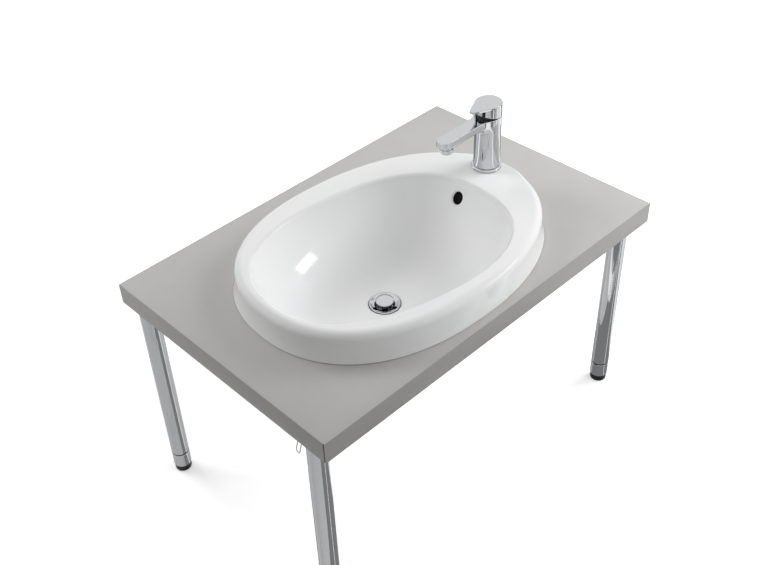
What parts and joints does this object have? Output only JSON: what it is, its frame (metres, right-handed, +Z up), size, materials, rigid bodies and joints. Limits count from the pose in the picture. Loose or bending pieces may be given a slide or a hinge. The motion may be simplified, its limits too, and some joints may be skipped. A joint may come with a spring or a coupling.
{
  "type": "washbasin",
  "caption": "Oval countertop washbasin set in a grey worktop on chrome levelling legs, with a single-lever mixer tap and a push waste.",
  "frame": {"origin": "on the floor under the middle of the worktop", "axes": "+X along the worktop towards the tap, +Y from the user to the back, +Z up"},
  "size_m": [0.8, 0.523, 0.6415],
  "materials": {
    "ceramic": "gloss white glaze",
    "board": "grey satin laminate on chipboard",
    "edging": "grey satin edge band",
    "sealant": "white silicone",
    "rubber": "black moulded rubber",
    "chrome": "polished chrome plate",
    "grey_plastic": "grey plastic",
    "black_plastic": "satin black plastic",
    "brass": "machined",
    "steel": "zinc-plated"
  },
  "bodies": {
    "base": {"basin": "ceramic", "worktop_board": "board", "edge_band_front": "edging", "edge_band_back": "edging", "edge_band_left": "edging", "edge_band_right": "edging", "sealant_bead": "sealant", "tap_gasket": "rubber", "rubber_horseshoe": "rubber", "waste_upper_seal": "rubber", "waste_lower_seal": "rubber", "tap_base_ring": "chrome", "tap_body": "chrome", "tap_spout": "chrome", "aerator_housing": "chrome", "waste_body": "chrome", "wire_hook": "chrome", "aerator_insert": "grey_plastic", "waste_washer": "grey_plastic", "cartridge_body": "black_plastic", "cartridge_nut": "brass", "tap_inlet_block": "brass", "tap_stud": "brass", "stud_nut": "brass", "waste_back_nut": "brass", "plug_guide": "brass", "metal_horseshoe": "steel", "plug_spring": "steel", "leg_screws": "steel", "leg_tube_1": "chrome", "leg_plate_1": "steel", "leg_bush_1": "black_plastic", "leg_ring_1": "black_plastic", "leg_tube_2": "chrome", "leg_plate_2": "steel", "leg_bush_2": "black_plastic", "leg_ring_2": "black_plastic", "leg_tube_3": "chrome", "leg_plate_3": "steel", "leg_bush_3": "black_plastic", "leg_ring_3": "black_plastic", "leg_tube_4": "chrome", "leg_plate_4": "steel", "leg_bush_4": "black_plastic", "leg_ring_4": "black_plastic"},
    "carrier": {"lever_carrier": "black_plastic"},
    "lever": {"lever": "chrome", "lever_pin": "steel", "lever_button": "grey_plastic"},
    "stem": {"cartridge_stem": "steel"},
    "plug": {"plug_cap": "chrome", "plug_seal": "rubber"},
    "foot_1": {"foot_sleeve_1": "chrome", "foot_pad_1": "black_plastic"},
    "foot_2": {"foot_sleeve_2": "chrome", "foot_pad_2": "black_plastic"},
    "foot_3": {"foot_sleeve_3": "chrome", "foot_pad_3": "black_plastic"},
    "foot_4": {"foot_sleeve_4": "chrome", "foot_pad_4": "black_plastic"}
  },
  "joints": [
    {"name": "lever_swivel", "type": "hinge", "parent": "base", "child": "carrier", "pos_m": [0.232, -0.0165, 0.6194], "axis": [0, 0, 1], "range_deg": [-45, 45]},
    {"name": "lever_lift", "type": "hinge", "parent": "carrier", "child": "lever", "pos_m": [0.25, -0.0165, 0.6194], "axis": [0, 1, 0], "range_deg": [0, 20]},
    {"name": "stem_lift", "type": "slide", "parent": "carrier", "child": "stem", "axis": [0, 0, 1], "range_m": [0, 0.007]},
    {"name": "plug_slide", "type": "slide", "parent": "base", "child": "plug", "axis": [0, 0, -1], "range_m": [0, 0.008], "deforming": ["plug_spring"]},
    {"name": "foot_level_1", "type": "slide", "parent": "base", "child": "foot_1", "axis": [0, 0, -1], "range_m": [0, 0.02]},
    {"name": "foot_level_2", "type": "slide", "parent": "base", "child": "foot_2", "axis": [0, 0, -1], "range_m": [0, 0.02]},
    {"name": "foot_level_3", "type": "slide", "parent": "base", "child": "foot_3", "axis": [0, 0, -1], "range_m": [0, 0.02]},
    {"name": "foot_level_4", "type": "slide", "parent": "base", "child": "foot_4", "axis": [0, 0, -1], "range_m": [0, 0.02]}
  ],
  "couplings": [
    {"joint": "stem_lift", "follows": "lever_lift", "m_per_rad": 0.0198}
  ]
}
